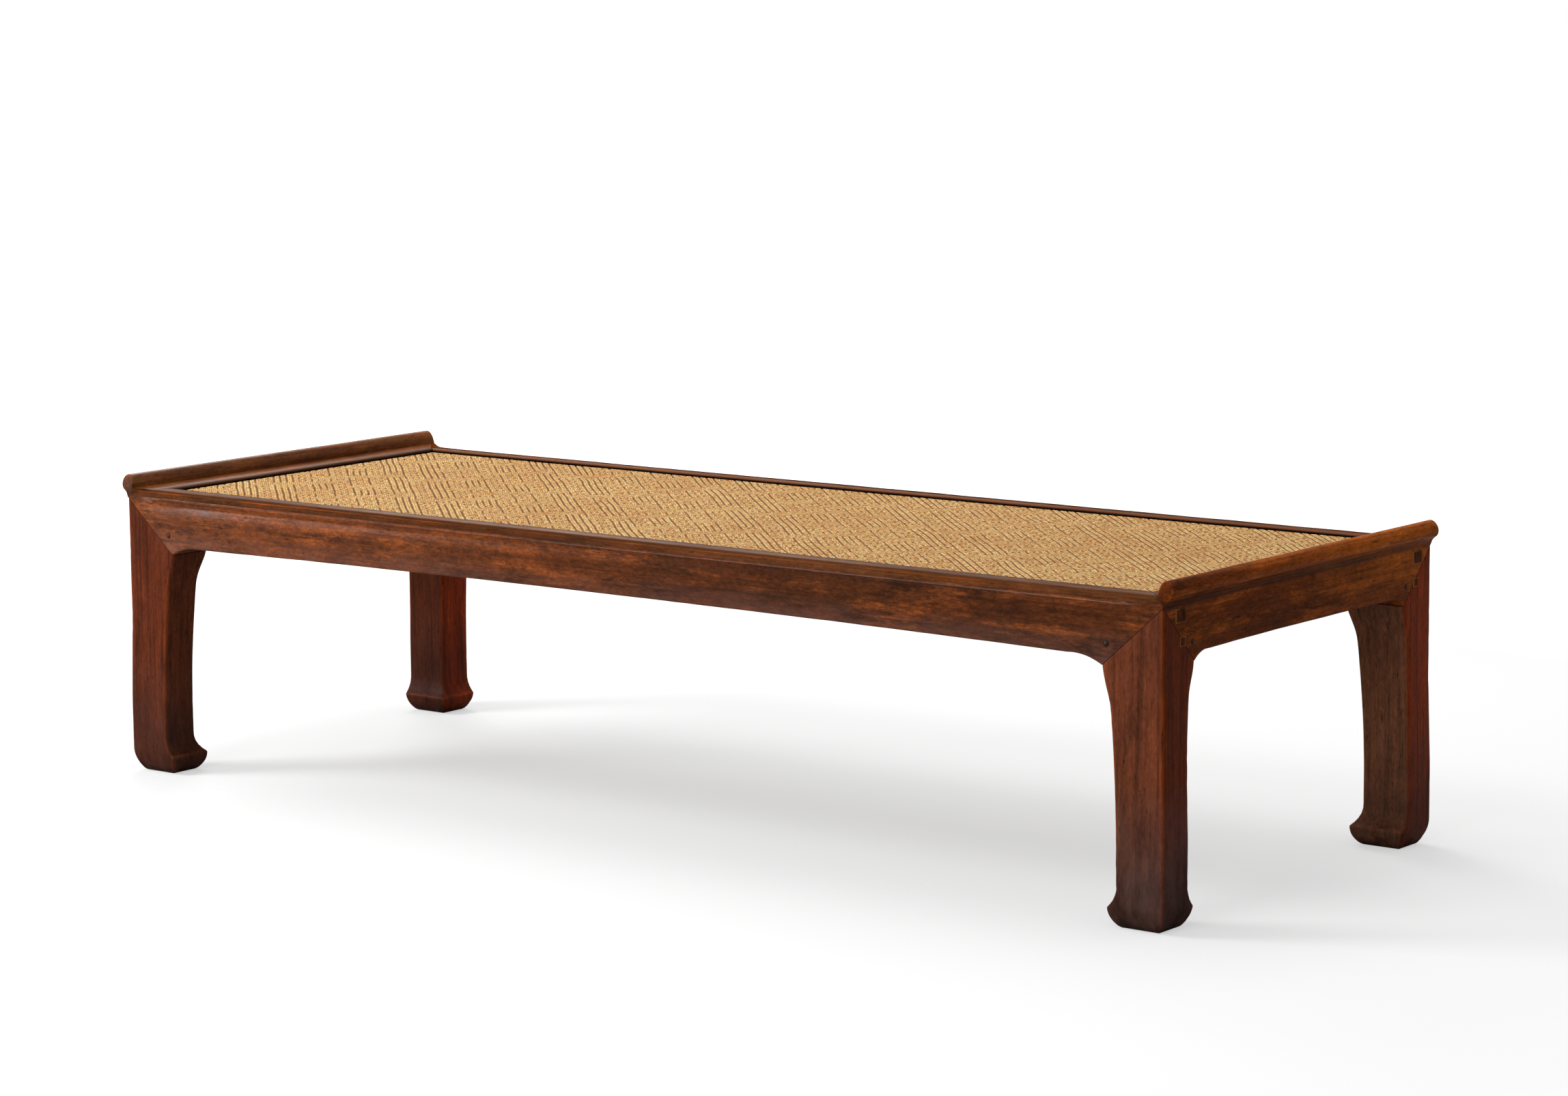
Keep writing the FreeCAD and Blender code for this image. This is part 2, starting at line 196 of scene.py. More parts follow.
def put(item, material, node):
    """Give a piece its material, its body and the node that it stands for."""
    item.data.materials.clear()
    item.data.materials.append(material)
    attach(item, "root")
    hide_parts(node)
    return item


def outward(flat):
    """Unit vectors that point out of closed rings of flat points, which run anticlockwise."""
    tangent = np.roll(flat, -1, axis=-2) - np.roll(flat, 1, axis=-2)
    tangent /= np.linalg.norm(tangent, axis=-1, keepdims=True) + 1e-9
    return np.stack([tangent[..., 1], -tangent[..., 0]], -1)


def stations(reach, near, far, count):
    """Places along a rail that ends at its reach, and their distances from the nearer end.

    They lie at the distances in near from each end, and evenly between, where far is the distance.
    """
    blend, near = np.linspace(-1, 1, count)[1:-1, None], np.array(near, float)[:, None]
    along = np.concatenate([near - reach, blend * (reach - far), reach - near[::-1]])
    return along, np.concatenate([near, far + 0 * blend, near[::-1]])


def placed(points, kind, sign):
    """Points of (along, inward, z), moved to a side of the bed."""
    along, inward, z = points.reshape(-1, 3).T
    if kind == "long":
        return np.stack([along, sign * (long_face - inward), z], 1)
    return np.stack([sign * (end_face - inward), along, z], 1)


def joint_edge(near_end):
    """How far a surface falls back, how worn it is with a painted highlight along the edge, and how dark, by
    its distance from a joint.
    """
    back = joint_soft * np.clip(1 - near_end / 1.1, 0, 1) ** 1.5
    rub_and_glint = 0.3 * np.clip(1 - np.abs(near_end - 1.4) / 1.4, 0, 1)
    return back, rub_and_glint, np.clip(1 - near_end / 0.8, 0, 1)


# Rails
def underside(along, half, foot, bend, arch):
    """Height of a rail's underside at a distance from the rail's middle."""
    inward = np.clip(half - np.abs(along), foot[0], None)
    curve = [foot] + arc(foot, between(foot, bend, (0.30, 0.60)), bend, 16)
    us, zs = np.array(curve).T
    middle = bend[1] + arch * (1 - (np.clip(half - inward, 0, None) / (half - bend[0])) ** 2)
    return np.where(inward < bend[0], np.interp(inward, us, zs), middle)


def depths(points, worn, dark=0.0):
    """Section points given as (inward, share of the rail's depth), with how worn and dark they are."""
    return [(p, 1 - t, mitre_z * t, worn, dark) for p, t in points]


def heights(points, worn, dark=0.0):
    """Section points given as (inward, height)."""
    return [(p, 0.0, z, worn, dark) for p, z in points]


def lifts(points, worn):
    """Section points given as (inward, height above the rail's underside)."""
    return [(p, 1.0, dz, worn, 0.0) for p, dz in points]


def common_section():
    """What all four rails' sections share, from the inner edge round to the face."""
    section = heights([(strip_in, ledge_z), (52, ledge_z), (webbing_in, ledge_z)], 0)
    section += heights([(webbing_in, webbing_z), (rail_width - 1, webbing_z)], 0)
    section += depths([(rail_width, t) for t in (0.97, 0.8, 0.6, 0.4, 0.2, 0.08)], 0)
    section += lifts([(rail_width, 2.6), (rail_width - 0.7, 0.8), (rail_width - 2.6, 0)], 0.5)
    section += lifts([(p, 0) for p in (70, 55, 40, 25, 12, 6)], 0.05)
    section += lifts([(3.2, 0), (1.9, 0.3), (0.8, 1.0), (0.2, 2.1), (0, 3.6)], 0.2)
    section += depths([(0, t) for t in (0.09, 0.15, 0.22, 0.3, 0.38, 0.46)], 0.08)
    section += depths([(0, t) for t in (0.54, 0.62, 0.7, 0.78, 0.86, 0.93)], 0.08)
    return section


def long_section():
    """Section of a long rail: after the face, the arris and the worn shoulder beside the strip."""
    low, arris = (0, mitre_z), (arris_in, arris_z)
    section = common_section()
    section += heights([low] + arc(low, between(low, arris, (0.10, 0.66)), arris, 7), 0.1, 0.1)
    slope = (shoulder_z - arris_z) / (strip_in - arris_in)
    # The shoulder's dark value of 0.2 is painted shade, which keeps the upward-facing top from looking
    # lighter than the face.
    for inward, worn in ((9.5, 0.9), (11, 0.8), (13, 0.5), (17, 0.2), (21, 0.1), (25, 0.1), (28, 0.05)):
        section += heights([(inward, arris_z + slope * (inward - arris_in))], worn, 0.2)
    section += heights([(29.7, shoulder_z - 0.35), (strip_in, shoulder_z - 1.2)], 0.6, 0.9)
    return np.array(section)


def lip_outline():
    """Outline of a lip from its tip on the face, over its crown, to its foot beside the seat."""
    rise = lip_top_z - mitre_z
    tip, foot = (0, mitre_z), (lip_in, lip_foot_z)
    cove = (-lip_out * 0.76, mitre_z + rise * 0.35)
    crown = (-lip_out * 0.76, mitre_z + rise * 0.87)
    crown_end = (lip_in * 0.52, lip_foot_z + (lip_top_z - lip_foot_z) * 0.86)
    points = [tip] + arc(tip, between(tip, cove, (0.40, 0.57)), cove, 7)
    points += arc(cove, (-lip_out, mitre_z + rise * 0.60), crown, 9)
    points += arc(crown, (-lip_out * 0.22, lip_top_z), crown_end, 11)
    points += arc(crown_end, between(foot, crown_end, (0.07, 0.55)), foot, 6)
    return points


def end_section():
    """Section of an end rail: after the face, the lip, then the shoulder down to the strip."""
    section = common_section()
    lip = lip_outline()
    # Dark values on the lip: painted shade in the cove where it leaves the face (0.5 low, 0.15 higher) and in
    # the crease at its foot (0.3); a little darker on its slope down to the foot.
    section += heights(lip[:4], 0.1, 0.5) + heights(lip[4:8], 0.25, 0.15) + heights(lip[8:28], 0.45)
    section += heights(lip[28:], 0.35, 0.1)
    section += heights([(lip_in + 0.04, lip_foot_z - 2.5), (lip_in + 0.10, lip_foot_z - 2.5)], 0, 0.3)
    foot, edge = (lip_in + 0.12, lip_foot_z - 0.1), (strip_in, shoulder_z)
    for share, worn in ((0.0, 0.1), (0.06, 0.3), (0.25, 0.4), (0.5, 0.5), (0.75, 0.5), (0.95, 0.5)):
        section += heights([between(foot, edge, (share, share))], worn)
    section += heights([(29.8, shoulder_z - 0.4), (strip_in, shoulder_z - 1.2)], 0.6, 0.9)
    return np.array(section)


def shoulder_lift(away):
    """How far the long rail's shoulder climbs near its end, at a distance from the end face."""
    foot, end = (lip_in, lip_foot_z), (lip_in + rise_length, arris_z)
    us, zs = np.array([foot] + arc(foot, between(foot, end, (0.30, 0.40)), end, 14)).T
    return np.interp(away, us, zs) - arris_z


def rail(section, half, foot, bend, arch, lift, seed):
    """Rail along X, or along Y for an end rail, as (along, inward, z) points and their values.

    lift is for a long rail, whose top climbs near its ends to meet the lips.
    """
    inward, share, base, worn, dark = section.T

    # How far before the end each line of the section stops, at a mitre or at the lip's end
    slope = (mitre_z - foot[1]) / foot[0]
    over = (base > mitre_z) & (share == 0)
    stop = np.maximum(inward, (mitre_z - share * foot[1] - base) / slope)
    if lift:
        rise = lip_foot_z - mitre_z
        face_z = mitre_z + (base - mitre_z) * rise / (arris_z - mitre_z)
        raised = np.where(inward < arris_in, face_z, np.maximum(base, lip_foot_z))
        joint = np.clip((raised - mitre_z) * lip_in / rise, 0, lip_in)
        stop = np.where(over, np.maximum(inward, joint), stop)
        lip = np.zeros(len(inward), bool)
    else:
        lip = over & ((inward < lip_in + 0.05) | (base > lip_foot_z + 0.05))
        lip |= (base == mitre_z) & (inward == 0)
        slant = lip_slant * np.clip((base - lip_foot_z + 2) / (lip_top_z - lip_foot_z + 2), 0, 1) ** 1.3
        stop = np.where(lip, slant, stop)
    reach = half - stop - np.where(lip, 0, joint_gap)

    # Heights, with the top's climb near its ends and the face's roll over
    near = [0, 0.45, 1.1, 2.4, 4.5, 7.5, 11, 15, 19, 23, 27, 31, 36, 41, 46, 51, 56, 61, 67, 73, 80]
    along, near_end = stations(reach, near, near[-1], int((half - 190) / 6) + 2)
    z = share * underside(along, half, foot, bend, arch) + base
    away = half - np.abs(along)
    inset = inward + 0 * along
    if lift:
        crest = arris_z + shoulder_lift(np.clip(away, lip_in, None))
        face_z = mitre_z + (base - mitre_z) * (crest - mitre_z) / (arris_z - mitre_z)
        z = np.where(over & (inward < arris_in), face_z, z)
        z = np.where(over & (inward > arris_in - 0.01) & (base > ledge_z + 1), np.maximum(base, crest), z)
        rounded = over & (inward < arris_in + 0.01)
        inset = np.where(rounded, inward * (0.1 + 0.9 * smooth((away - 10) / 36)), inset)
        height = np.where(share > 0, 1 - share, 1 + (base - mitre_z) / 80)
        roll = face_roll * np.clip((height - 0.66) / 0.34, 0, 1.3) ** 1.8 * smooth((away - 10) / 80)
        inset = inset + np.where(rounded | ((inward == 0) & (share > 0)), roll, 0)
    flat = np.stack([inset, z], -1)
    normal = -outward(flat)

    # Softened ends, hollows and worn edges, with painted highlights beside the joints and round the lips'
    # caps
    back, rub_and_glint, darkening = joint_edge(near_end)
    cap = np.clip(cap_soft - near_end, 0, cap_soft)
    held = smooth(np.where(inward > 0.5, (base - lip_foot_z) / 8, (base - mitre_z - 2) / 8))
    cap_back = held * (cap_soft - np.sqrt(np.clip(cap_soft ** 2 - cap ** 2, 0, None)))
    back = np.where(lip, cap_back, back)
    dents = 0.32 * rough(along, z * 2.4 + inward * 2.4, 55, seed)
    dents = dents + 0.12 * rough(along, z + inward, 9, seed + 5)
    swell = np.where((inward == 0) & (share < 1), 0.5 * np.sin(np.pi * share), 0)
    edge = np.where(worn > 0.7, 0.30 * rough(along, 0 * along, 16, seed + 9) - 0.2, 0)
    push = dents * np.where(base == ledge_z, 0, 1) + swell + edge
    push = np.clip(near_end / 12, 0, 1) * push - back
    push = np.where(lip, np.minimum(push, -0.03), push)
    flat = flat + normal * push[..., None]
    points = np.stack([along, flat[..., 0], flat[..., 1]], -1)
    rub = np.clip(worn * (0.75 + 0.5 * rough(along, 0 * along + inward, 60, seed + 3)), 0, 1)
    if lift:
        rub = rub * np.where(over & (inward > arris_in), 0.6 + 0.4 * smooth((-100 - along) / 500), 1)
    # Pale round the lips' caps and beside the joints: wear with a painted highlight.
    ends = np.where(lip, np.clip(1.3 - near_end / 2.2, 0, 1), rub_and_glint)
    dark = np.maximum(dark, darkening * np.where(lip | over, 0.0, 1.0))
    dark = dark + np.where(lip & (near_end < 0.3), 0.35, 0)
    return points, np.maximum(rub, ends), np.clip(dark, 0, 1), lip


def rail_object(side, kind, sign, material, seed):
    """The rail of one side, with closed ends."""
    if kind == "long":
        section = long_section()
        made = rail(section, end_face, long_foot, long_bend, long_arch, True, seed)
    else:
        made = rail(end_section(), long_face, end_foot, end_bend, end_arch, False, seed)
    points, worn, dark, lip = made
    rings, size = points.shape[:2]
    faces = tube_faces(rings, size, caps=False)
    whole = list(range(size))
    for first in (0, (rings - 1) * size):
        ends = [whole]
        if lip.any():
            cap = [j for j in whole if lip[j]]
            ends = [cap, [j for j in whole if not lip[j] or j in (cap[0], cap[-1])]]
        faces += [tuple(first + j for j in end) for end in ends]
    item = mesh_object(side + "_rail", placed(points, kind, sign), faces, wear=worn, dark=dark)
    crease(item, 50)
    put(item, material, kind + "_rail_" + side)
    if kind == "long":
        inward, share, base = section[:, :3].T
        shoulder = (share == 0) & (base > mitre_z + 2) & (inward < strip_in)
        slots = np.zeros(len(item.data.polygons), np.int32)
        slots[:(rings - 1) * size] = np.tile(shoulder.astype(np.int32), rings - 1)
        item.data.materials.append(wood_shoulder)
        item.data.polygons.foreach_set("material_index", slots)


# Legs
def leg_profile(hoof, face, inner, straight_z, neck, shoulder):
    """Outer and inner lines of a leg, each as heights and distances from the middle."""
    tuck, round_end = (hoof - 14, 0), (hoof, 38)
    outer = [tuck] + arc(tuck, between(tuck, round_end, (0.74, 0.47)), round_end, 10)
    outer += [(hoof, 120), (face, 260), (face, mitre_z)]
    sole, toe, toe_end, straight = (inner - 1, 0), (inner - 15, toe_z), (inner, 60), (inner, straight_z)
    line = [sole] + arc(sole, between(toe, sole, (0.28, 0.60)), toe, 8)
    line += arc(toe, between(toe_end, toe, (0.267, 0.564)), toe_end, 10) + [straight]
    line += arc(straight, between(straight, neck, (0.38, 0.53)), neck, 10)
    line += arc(neck, between(shoulder, neck, (0.52, 0.63)), shoulder, 10) + [(shoulder[0], mitre_z)]
    return np.array(outer).T, eased(np.array(line).T, 200, 356)


def eased(line, low, high):
    """The line with its bends made gentler between two heights."""
    z = np.arange(0, mitre_z + 1, 1.5)
    place = np.interp(z, line[1], line[0])
    calm = place.copy()
    for _ in range(60):
        calm[1:-1] = (calm[:-2] + 2 * calm[1:-1] + calm[2:]) / 4
    share = smooth((z - low) / 60) * smooth((high - z) / 14)
    return np.array([place + share * (calm - place), z])


def leg(corner, material, seed):
    """Leg with a horse-hoof foot, whose head ends on the sloping shoulders of the rails."""
    inner, neck = hoof_x - leg_x, (hoof_x - leg_x - 12, 316)
    profile_x = leg_profile(hoof_x, end_face, inner, 120, neck, (end_face - long_foot[0], long_foot[1]))
    inner, neck = hoof_y - leg_y, (hoof_y - leg_y - 5.5, 330)
    profile_y = leg_profile(hoof_y, long_face, inner, 170, neck, (long_face - end_foot[0], end_foot[1]))
    flat = (0.07, 0.14, 0.22, 0.31, 0.4, 0.5, 0.6, 0.69, 0.78, 0.86, 0.93)
    lines = []

    def bend(a, b, radius, order, worn):
        """Round one of the leg's four edges, at the shares a and b of the way in along X and Y."""
        for k in range(7)[::order]:
            angle = math.radians(15 * k)
            du, dv = radius * (1 - math.cos(angle)), radius * (1 - math.sin(angle))
            lines.append((a, b, du if a == 0 else -du, dv if b == 0 else -dv, worn))

    bend(0, 0, 3.4, 1, 0.85)
    lines += [(a, 0, 0, 0, 0.08) for a in flat]
    bend(1, 0, 3.6, -1, 0.75)
    lines += [(1, b, 0, 0, 0.05) for b in flat]
    bend(1, 1, 4.5, 1, 0.4)
    lines += [(a, 1, 0, 0, 0.05) for a in flat[::-1]]
    bend(0, 1, 3.6, -1, 0.75)
    lines += [(0, b, 0, 0, 0.08) for b in flat[::-1]]
    a, b, du, dv, worn = np.array(lines).T
    head_u, head_v = a * long_foot[0] + du, b * end_foot[0] + dv
    end = np.minimum(mitre_z - long_slope * head_u, mitre_z - end_slope * head_v) - joint_gap

    # Heights of the rings, closest at the foot and at the mitre
    low = [0, 0.5, 1.3, 2.6, 5, 8, 12, 16, 20, 24, 27.6, 29, 30.4, 34, 40, 47, 55, 63, 72, 80, 90, 100]
    rows = [z + 0 * a for z in low + [112, 126] + list(range(140, 301, 12))]
    rows += [300 + (end - 4 - 300) * s for s in np.linspace(0, 1, 15)[1:]]
    rows += [end - d for d in (2.4, 1.1, 0.45, 0)]
    z = np.array(rows)

    def ring(profile, face, share, rounding):
        """Distances in from a face at each height and line."""
        outer, inner = profile
        start = face - np.interp(z, outer[1], outer[0])
        stop = face - np.interp(z, inner[1], inner[0])
        return start + share * (stop - start) + rounding

    points = np.stack([ring(profile_x, end_face, a, du), ring(profile_y, long_face, b, dv)], -1)
    normal = outward(points)
    near_end = end - z
    around = np.cumsum(np.hypot(np.diff(head_u, prepend=0), np.diff(head_v, prepend=0))) + 0 * z
    back, rub_and_glint, darkening = joint_edge(near_end)
    back = back + 2.0 * np.clip(1 - z / 2.6, 0, 1) ** 2
    dents = 0.35 * rough(z, around * 2.0, 60, seed) + 0.15 * rough(z, around, 10, seed + 5)
    chips = np.where(worn > 0.7, -0.9 * np.clip(rough(z, around // 40, 13, seed + 9) - 0.25, 0, 1), 0)
    chips = chips * np.where(z < 90, 2.2, 0.8)
    fade = np.clip(near_end / 10, 0, 1) * np.clip(z / 6, 0, 1)
    push = fade * (dents + chips + np.where(worn < 0.1, 0.3, 0)) - back
    push = np.where(z < 250, np.minimum(push, 0.0), push)
    u, v = np.moveaxis(points + normal * push[..., None], -1, 0)
    x_side = -1 if corner.endswith("left") else 1
    y_side = -1 if corner.startswith("front") else 1
    points = np.stack([x_side * (end_face - u), y_side * (long_face - v), z], -1).reshape(-1, 3)

    # Worn edges with a painted highlight beside the joint, a stain low on the leg, a stain with painted shade
    # at the sole below the toes, and a rubbed ridge on the toes with a painted highlight along it
    rub = np.clip(worn * (0.7 + 0.5 * rough(z, around, 45, seed + 3)), 0, 1)
    stain_and_shade_at_sole = 0.8 * np.clip(1 - z / 26 + 0.5 * rough(around, z, 12, seed + 7), 0, 1)
    high_stain = 0.42 * smooth((190 - z + 60 * rough(around, z, 45, seed + 8)) / 150)
    on_ridge = 0.8 * np.clip(1 - np.abs(z - ridge_z) / 2.5, 0, 1) * ((a == 1) | (b == 1))
    ridge_rub_and_glint = on_ridge * (0.6 + 0.5 * rough(around, z, 15, seed + 4))
    wear = np.maximum(np.maximum(rub, rub_and_glint), ridge_rub_and_glint)
    dark = np.clip(np.maximum(darkening, np.maximum(stain_and_shade_at_sole, high_stain)) - 0.8 * ridge_rub_and_glint, 0, 1)
    item = mesh_object("leg_" + corner + "_post", points, tube_faces(*z.shape), wear=wear, dark=dark)
    crease(item, 50)
    put(item, material, "leg_" + corner)


# Strips and small parts
def strip(side, kind, sign, material, seed, rub_and_glint):
    """Edge strip with mitred ends: low outside, crowned, and with a round inner edge."""
    height = strip_z - seat_z
    base = seat_z - 0.6
    start = (0.2, seat_z + 0.4 * height)
    outline = [(0.2, base), start]
    outline += arc(start, (1.0, seat_z + 0.62 * height), (3.0, seat_z + 0.76 * height), 3)
    outline += arc(outline[-1], (9.6, seat_z + 0.95 * height), (17, seat_z + 0.98 * height), 6)
    outline += arc(outline[-1], (19.4, seat_z + 0.80 * height), (20, seat_z + 0.42 * height), 6)
    outline += [(19.7, seat_z + 0.15 * height), (18.8, base)]
    inset, z = np.array(outline[::-1]).T
    inward = strip_in + inset
    half = end_face if kind == "long" else long_face
    along, near_end = stations(half - inward - 0.1, [0, 0.5, 1.3, 3, 6, 10], 14, int(2 * half / 11))
    none = 0 * along
    flat = np.stack([inward + none, z + none], -1)
    wave = 0.16 * rough(along, inward + none, 40, seed) + 0.08 * rough(along, z * 3 + none, 9, seed + 2)
    push = np.where(z > seat_z + 0.3, wave * np.clip(near_end / 8, 0, 1) - 0.1, 0)
    push = push - 0.35 * np.clip(1 - near_end / 1.3, 0, 1)
    flat = flat + outward(flat) * push[..., None]
    points = placed(np.stack([along, flat[..., 0], flat[..., 1]], -1), kind, sign)
    # Orange where the inner edge is worn, which also paints a highlight there. Near black on the lower half:
    # painted shadow under the crown. Dark at the mitred ends, which are joints, and a little darker over the
    # inner crown where the edge is not worn.
    rise = (z - seat_z) / height
    worn = np.where(inset > 17.2, rub_and_glint * smooth((rise - 0.35) / 0.3), 0.08) + none
    dark = np.maximum(smooth((0.5 - rise) / 0.2), np.clip(1.1 - near_end / 1.2, 0, 1))
    dark = np.maximum(dark, 0.5 * (1 - rub_and_glint) * smooth((inset - 8) / 5))
    item = mesh_object(side + "_strip", points, tube_faces(*along.shape), wear=worn, dark=dark)
    crease(item, 60)
    put(item, material, "mat_strip_" + side)


def disc(centre, axis, radius, height, seed):
    """Points and faces of a low domed disc on a face, axis being the face's outward normal."""
    centre, axis = np.array(centre, float), np.array(axis, float)
    one = np.array([0, 0, 1.0])
    two = np.cross(axis, one)
    rings, sides = 5, 20
    points = []
    for k in range(rings):
        angle = 0.5 * math.pi * k / (rings - 1)
        middle = centre + axis * (height * math.sin(angle) - 0.4)
        for j in range(sides):
            turn = 2 * math.pi * j / sides
            reach = radius * (1 + 0.04 * math.sin(3 * turn + seed)) * math.cos(angle * 0.96)
            points.append(middle + reach * (math.cos(turn) * one + math.sin(turn) * two))
    return points, tube_faces(rings, sides)


def joined(name, parts, **values):
    """One object from several lists of points and faces."""
    points, faces = [], []
    for more_points, more_faces in parts:
        start = len(points)
        points += list(more_points)
        faces += [tuple(start + k for k in face) for face in more_faces]
    return mesh_object(name, points, faces, **values)


def plate(centre, axis, size, height, soft):
    """Low block with bevelled edges on a face, such as a tenon's end."""
    centre, axis = np.array(centre, float), np.array(axis, float)
    up = np.array([0, 0, 1.0])
    side = np.cross(axis, up)
    cells = 6
    steps = [-1 + 2 * k / cells for k in range(cells)]
    edge = [(s, -1) for s in steps] + [(1, s) for s in steps]
    edge += [(-a, -b) for a, b in edge]
    points = []
    for inset, depth in ((0, -0.8), (0, height - 0.25), (soft * 0.4, height - 0.05), (soft, height)):
        wide, high = size[0] / 2 - inset, size[1] / 2 - inset
        points += [centre + axis * depth + side * a * wide + up * b * high for a, b in edge]
    return points, tube_faces(4, len(edge))


# Node trees
class Tree:
    """Short names for the few kinds of shader node used here."""

    def __init__(self, name, owners=bpy.data.materials, shader="Principled BSDF"):
        self.owner = owners.new(name)
        self.owner.use_nodes = True
        self.nodes, self.links = self.owner.node_tree.nodes, self.owner.node_tree.links
        self.shader = self.nodes[shader]
        self.spot = self.nodes.new("ShaderNodeTexCoord").outputs
        self.place = self.spot["Object"]

    def part(self, vector, axis):
        """One part of a vector."""
        return self.add("SeparateXYZ", Vector=vector).outputs[axis]

    def set(self, socket, value):
        """Link an output, or set a plain value."""
        if isinstance(value, bpy.types.NodeSocket):
            self.links.new(value, socket)
        else:
            socket.default_value = value

    def add(self, kind, **inputs):
        """New node with some of its inputs linked or set."""
        node = self.nodes.new("ShaderNode" + kind)
        for name, value in inputs.items():
            self.set(node.inputs[name], value)
        return node

    def math(self, kind, a, b=0.0):
        """One step of arithmetic."""
        node = self.nodes.new("ShaderNodeMath")
        node.operation = kind
        self.set(node.inputs[0], a)
        self.set(node.inputs[1], b)
        return node.outputs[0]

    def product(self, a, b):
        """Two values multiplied."""
        return self.math("MULTIPLY", a, b)

    def drawn(self, grain, along, shift):
        """The place on the object, scaled along the grain and shifted."""
        scale = tuple(along if axis == grain else 1.0 for axis in "xyz")
        return self.add("Mapping", Vector=self.place, Scale=scale, Location=shift).outputs[0]

    def noise(self, vector, scale, detail=4.0, roughness=0.55, warp=0.0):
        """Soft noise from 0 to 1."""
        plain = {"Scale": scale, "Detail": detail, "Roughness": roughness, "Distortion": warp}
        return self.add("TexNoise", Vector=vector, **plain).outputs[0]

    def ramp(self, value, *stops):
        """Grey that goes from one stop's level to the other's."""
        node = self.add("ValToRGB", Fac=value)
        for element, (position, level) in zip(node.color_ramp.elements, stops):
            element.position = position
            element.color = (level, level, level, 1)
        return node.outputs[0]

    def span(self, value, low, high, to_low=0.0, to_high=1.0):
        """Value moved from one range to another and held at its ends."""
        node = self.nodes.new("ShaderNodeMapRange")
        for socket, number in zip(node.inputs, (value, low, high, to_low, to_high)):
            self.set(socket, number)
        return node.outputs[0]

    def mix(self, share, a, b, kind="MIX"):
        """Colour between a and b."""
        node = self.nodes.new("ShaderNodeMix")
        node.data_type = "RGBA"
        node.blend_type = kind
        self.set(node.inputs[0], share)
        for socket, value in ((node.inputs[6], a), (node.inputs[7], b)):
            if isinstance(value, tuple):
                value = (*value, 1)
            self.set(socket, value)
        return node.outputs[2]

    def scaled(self, base, noise, spread, low, high):
        """Colour times a factor, which goes from low to high as the noise moves across its middle."""
        return self.mix(1.0, base, self.span(noise, 0.5 - spread, 0.5 + spread, low, high), "MULTIPLY")

    def attribute(self, name, output="Fac"):
        """Value kept on the mesh."""
        node = self.nodes.new("ShaderNodeAttribute")
        node.attribute_name = name
        return node.outputs[output]

    def bump(self, height, distance, strength=1.0, **before):
        """Normal tilted by a height."""
        return self.add("Bump", Height=height, Distance=distance, Strength=strength, **before).outputs[0]

    def finish(self, colour, roughness, normal, shine):
        """Connect the shader."""
        values = {"Base Color": colour, "Roughness": roughness, "Normal": normal, "Specular IOR Level": shine}
        for name, value in values.items():
            self.set(self.shader.inputs[name], value)
        return self.owner


def tone(red, green, blue):
    """Linear colour from screen values of 0 to 255."""
    shares = (red / 255, green / 255, blue / 255)
    return tuple(s / 12.92 if s <= 0.04045 else ((s + 0.055) / 1.055) ** 2.4 for s in shares)


def times(colour, factor):
    """Colour made lighter or darker."""
    return tuple(min(1.0, channel * factor) for channel in colour)


